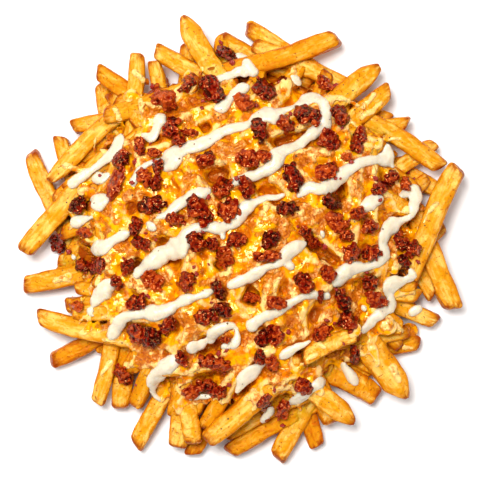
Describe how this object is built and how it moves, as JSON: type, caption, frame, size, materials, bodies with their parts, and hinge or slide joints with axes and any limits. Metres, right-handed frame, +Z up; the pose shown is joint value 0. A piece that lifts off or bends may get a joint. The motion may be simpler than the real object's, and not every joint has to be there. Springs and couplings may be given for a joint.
{
  "type": "heap of loaded french fries",
  "caption": "Round low heap of skin-on french fries under melted cheese, with a thick ivory drizzle and bacon crumbles, lying on a table with no dish",
  "frame": {"origin": "middle of the heap's flat underside, on the table", "axes": "+Z up; +X to the right and +Y to the top of the picture, which looks straight down"},
  "size_m": [0.244, 0.2435, 0.0546],
  "materials": {
    "fries": "fried potato, matte with an oily sheen",
    "cheese": "melted cheese, glossy",
    "drizzle": "thick ivory sauce, smooth and glossy",
    "bacon": "fried bacon, crisp and glossy"
  },
  "bodies": {
    "root": {"fries": "fries", "melted_cheese": "cheese", "bacon_01": "bacon", "bacon_02": "bacon", "bacon_03": "bacon", "bacon_04": "bacon", "bacon_05": "bacon", "bacon_06": "bacon", "bacon_07": "bacon", "bacon_08": "bacon", "bacon_09": "bacon", "bacon_10": "bacon", "bacon_11": "bacon", "bacon_12": "bacon", "bacon_13": "bacon", "bacon_14": "bacon", "bacon_15": "bacon", "bacon_16": "bacon", "bacon_17": "bacon", "bacon_18": "bacon", "bacon_19": "bacon", "bacon_20": "bacon", "bacon_21": "bacon", "bacon_22": "bacon", "bacon_23": "bacon", "bacon_24": "bacon", "bacon_25": "bacon", "bacon_26": "bacon", "bacon_27": "bacon", "bacon_28": "bacon", "bacon_29": "bacon", "bacon_30": "bacon", "bacon_31": "bacon", "bacon_32": "bacon", "bacon_33": "bacon", "bacon_34": "bacon", "bacon_35": "bacon", "bacon_36": "bacon", "bacon_37": "bacon", "bacon_38": "bacon", "bacon_39": "bacon", "bacon_40": "bacon", "bacon_41": "bacon", "bacon_42": "bacon", "bacon_43": "bacon", "bacon_44": "bacon", "bacon_45": "bacon", "bacon_46": "bacon", "bacon_47": "bacon", "bacon_48": "bacon", "bacon_49": "bacon", "bacon_50": "bacon", "bacon_51": "bacon", "bacon_52": "bacon", "bacon_53": "bacon"}
  },
  "joints": []
}
